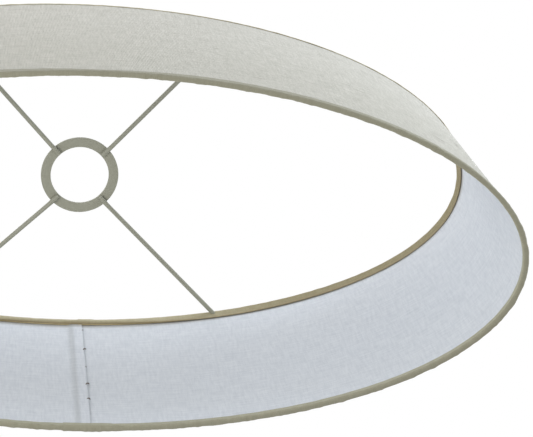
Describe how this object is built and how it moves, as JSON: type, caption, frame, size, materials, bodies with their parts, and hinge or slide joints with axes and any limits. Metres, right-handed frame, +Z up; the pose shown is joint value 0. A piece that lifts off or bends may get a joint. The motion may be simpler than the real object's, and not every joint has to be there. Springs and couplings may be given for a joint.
{
  "type": "lamp shade",
  "caption": "Oval straight-sided lamp shade: linen over a stiff panel, white lining, taped wire rims, and a washer spider dropped below the top rim on straight rods.",
  "frame": {"origin": "middle of the bottom rim, on the plane that the shade stands on", "axes": "+X along the oval's length, +Y towards the wall with the seam, +Z up through the spider"},
  "size_m": [0.576, 0.245, 0.205],
  "materials": {
    "linen": "plain woven oatmeal linen with slubs",
    "panel": "thin translucent styrene sheet, laminated to the cloth",
    "lining": "fine cool-white woven lining, laminated",
    "tape": "sage grey woven binding tape, folded and glued",
    "wire": "drawn steel wire",
    "paint": "satin sage grey paint on mild steel"
  },
  "bodies": {
    "root": {"linen_cover": "linen", "stiffener_panel": "panel", "lining": "lining", "top_wire": "wire", "bottom_wire": "wire", "top_binding": "tape", "bottom_binding": "tape", "spider_ring": "paint", "spider_rod_1": "paint", "spider_rod_2": "paint", "spider_rod_3": "paint", "spider_rod_4": "paint"}
  },
  "joints": []
}
